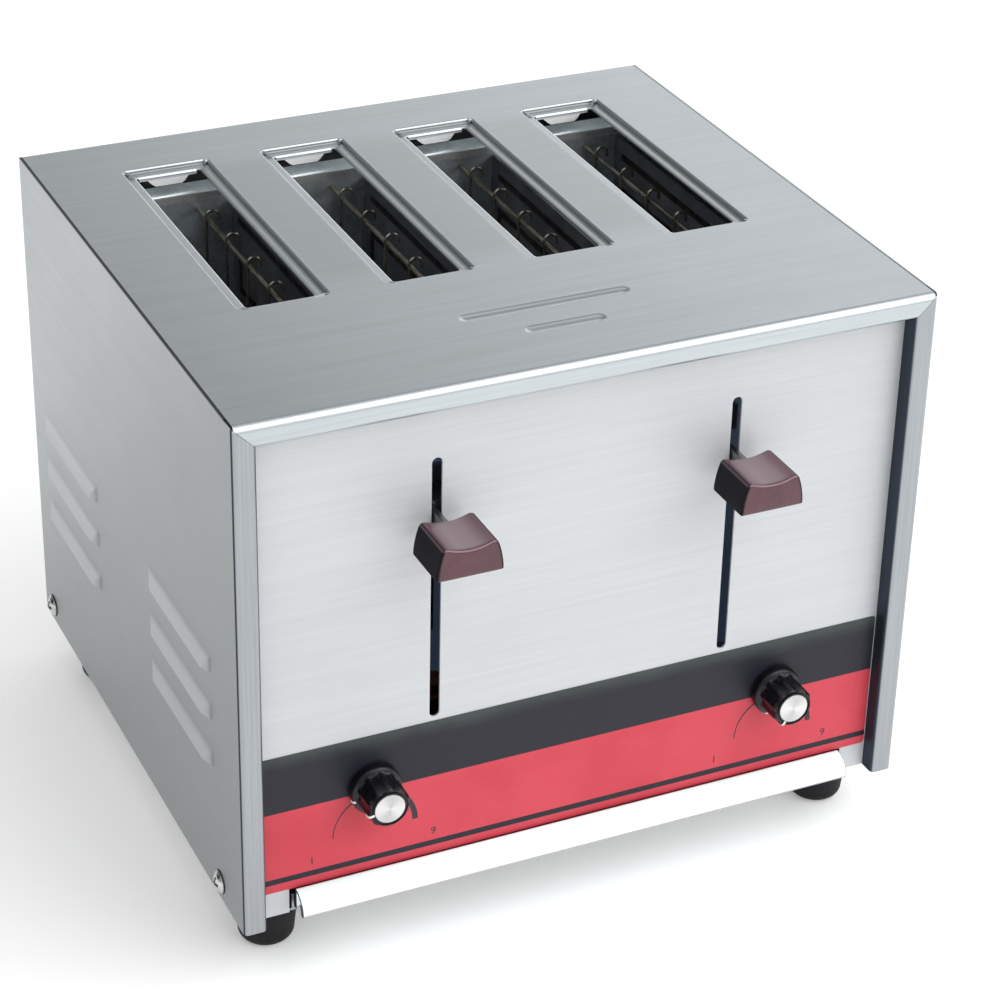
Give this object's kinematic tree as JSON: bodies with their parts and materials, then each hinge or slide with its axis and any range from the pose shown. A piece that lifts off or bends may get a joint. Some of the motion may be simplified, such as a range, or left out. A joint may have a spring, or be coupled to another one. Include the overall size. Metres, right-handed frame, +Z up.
{
  "type": "commercial toaster",
  "caption": "Boxy sheet-steel pop-up toaster with wide bread slots, sliding lift levers, turning browning dials and a pull-out crumb tray.",
  "frame": {"origin": "under the middle of the whole footprint, on the plane of the feet's soles", "axes": "+Z up; the front with its levers and dials faces -Y; +X is to the right seen from the front"},
  "size_m": [0.3104, 0.307, 0.2595],
  "materials": {
    "side_steel": "horizontal brushed grain",
    "top_steel": "brushed along its depth",
    "front_steel": "bright horizontal brushed grain",
    "galvanised_steel": "dull galvanised sheet",
    "printed_film": "red and black printed bands",
    "fastener_steel": "bright zinc plating",
    "foot_rubber": "satin black",
    "bush_rubber": "satin black",
    "tray_steel": "plain bright sheet",
    "pull_steel": "polished",
    "oven_steel": "bright sheet, a little heat tint",
    "mica_board": "matt mica sheet",
    "ribbon_alloy": "dull grey ribbon",
    "guard_wire": "drawn wire",
    "rod_steel": "ground bar",
    "carriage_steel": "zinc plated",
    "arm_steel": "zinc plated",
    "brown_moulding": "satin brown moulding",
    "spring_steel": "spring wire",
    "coil_copper": "enamelled copper winding",
    "timer_body": "dark moulding",
    "shaft_steel": "turned",
    "black_moulding": "gloss black moulding",
    "spun_aluminium": "spun face",
    "circuit_board": "green lacquer",
    "ceramic": "unglazed ceramic",
    "conductor": "bare and sleeved copper"
  },
  "bodies": {
    "casing": {"left_side_panel": "side_steel", "right_side_panel": "side_steel", "top_cover": "top_steel", "front_panel": "front_steel", "rear_panel": "side_steel", "base_plate": "galvanised_steel", "control_label": "printed_film", "side_screws": "fastener_steel", "rear_screws": "fastener_steel", "front_left_foot": "foot_rubber", "front_right_foot": "foot_rubber", "rear_left_foot": "foot_rubber", "rear_right_foot": "foot_rubber", "foot_screws": "fastener_steel", "cord_bush": "bush_rubber", "oven_front_wall": "oven_steel", "oven_rear_wall": "oven_steel", "oven_left_wall": "oven_steel", "oven_right_wall": "oven_steel", "heater_ribbons": "ribbon_alloy", "left_guide_rod": "rod_steel", "right_guide_rod": "rod_steel", "left_return_spring": "spring_steel", "right_return_spring": "spring_steel", "left_hold_magnet": "coil_copper", "right_hold_magnet": "coil_copper", "mechanism_shelf": "galvanised_steel", "rod_bar": "galvanised_steel", "left_timer": "timer_body", "right_timer": "timer_body", "control_board": "circuit_board", "terminal_block": "ceramic", "wiring": "conductor", "element_board_1": "mica_board", "element_board_2": "mica_board", "element_board_3": "mica_board", "element_board_4": "mica_board", "element_board_5": "mica_board", "slot_1_guards": "guard_wire", "slot_2_guards": "guard_wire", "slot_3_guards": "guard_wire", "slot_4_guards": "guard_wire"},
    "left_lift": {"left_carriage": "carriage_steel", "bread_rack_1": "oven_steel", "bread_rack_2": "oven_steel", "left_lever_arm": "arm_steel", "left_lever_knob": "brown_moulding"},
    "right_lift": {"right_carriage": "carriage_steel", "bread_rack_3": "oven_steel", "bread_rack_4": "oven_steel", "right_lever_arm": "arm_steel", "right_lever_knob": "brown_moulding"},
    "left_dial": {"left_dial_knob": "black_moulding", "left_dial_cap": "spun_aluminium", "left_timer_shaft": "shaft_steel"},
    "right_dial": {"right_dial_knob": "black_moulding", "right_dial_cap": "spun_aluminium", "right_timer_shaft": "shaft_steel"},
    "tray": {"crumb_tray": "tray_steel", "tray_pull": "pull_steel"}
  },
  "joints": [
    {"name": "left_lift_slide", "type": "slide", "parent": "casing", "child": "left_lift", "axis": [0, 0, 1], "range_m": [-0.084, 0.02], "stiffness_N_per_m": 120, "springref_m": 0.01323, "deforming": ["left_return_spring"]},
    {"name": "right_lift_slide", "type": "slide", "parent": "casing", "child": "right_lift", "axis": [0, 0, 1], "range_m": [-0.084, 0.02], "stiffness_N_per_m": 120, "springref_m": 0.01323, "deforming": ["right_return_spring"]},
    {"name": "left_dial_turn", "type": "hinge", "parent": "casing", "child": "left_dial", "pos_m": [-0.093, -0.1205, 0.0792], "axis": [0, 1, 0], "range_deg": [-45, 240]},
    {"name": "right_dial_turn", "type": "hinge", "parent": "casing", "child": "right_dial", "pos_m": [0.093, -0.1205, 0.0792], "axis": [0, 1, 0], "range_deg": [0, 285]},
    {"name": "tray_slide", "type": "slide", "parent": "casing", "child": "tray", "axis": [0, -1, 0], "range_m": [0, 0.24]}
  ]
}
